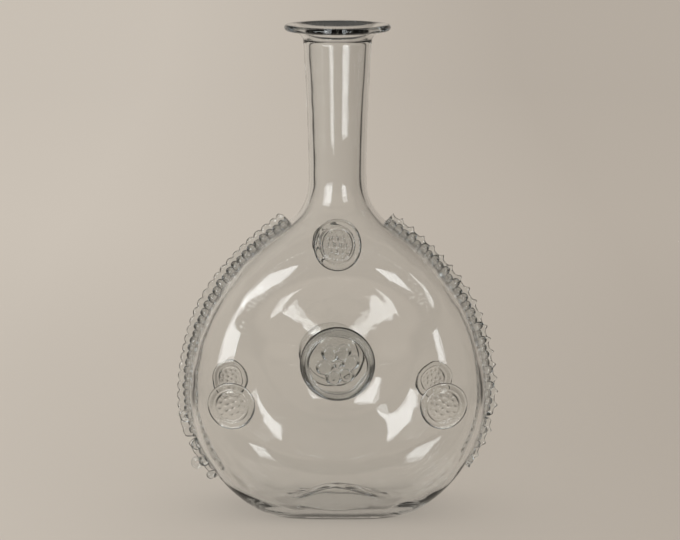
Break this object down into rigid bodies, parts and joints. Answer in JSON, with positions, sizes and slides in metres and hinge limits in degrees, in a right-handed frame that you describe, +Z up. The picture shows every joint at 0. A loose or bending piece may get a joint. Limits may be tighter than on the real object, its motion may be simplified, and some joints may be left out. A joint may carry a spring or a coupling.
{
  "type": "glass decanter",
  "caption": "Flattened blown-glass decanter with a tall neck, flared lip, dished faces bearing stamped glass seals, and a pinched glass trail down each narrow side.",
  "frame": {"origin": "centre of the foot on the surface that the decanter stands on", "axes": "+Z up along the neck, +X across the wide face to the right as seen from the front, front face towards -Y"},
  "size_m": [0.1794, 0.0776, 0.27],
  "materials": {
    "clear_glass": "fire-polished clear glass with a slight grey-green tint",
    "trail_glass": "pinched clear glass, uneven gloss",
    "seal_glass": "stamped clear glass, soft relief"
  },
  "bodies": {
    "root": {"flask_body": "clear_glass", "lip_ring": "clear_glass", "left_trail": "trail_glass", "right_trail": "trail_glass", "front_centre_prunt": "seal_glass", "back_centre_prunt": "seal_glass", "front_top_prunt": "seal_glass", "front_left_prunt": "seal_glass", "front_right_prunt": "seal_glass", "back_top_prunt": "seal_glass", "back_left_prunt": "seal_glass", "back_right_prunt": "seal_glass"}
  },
  "joints": []
}
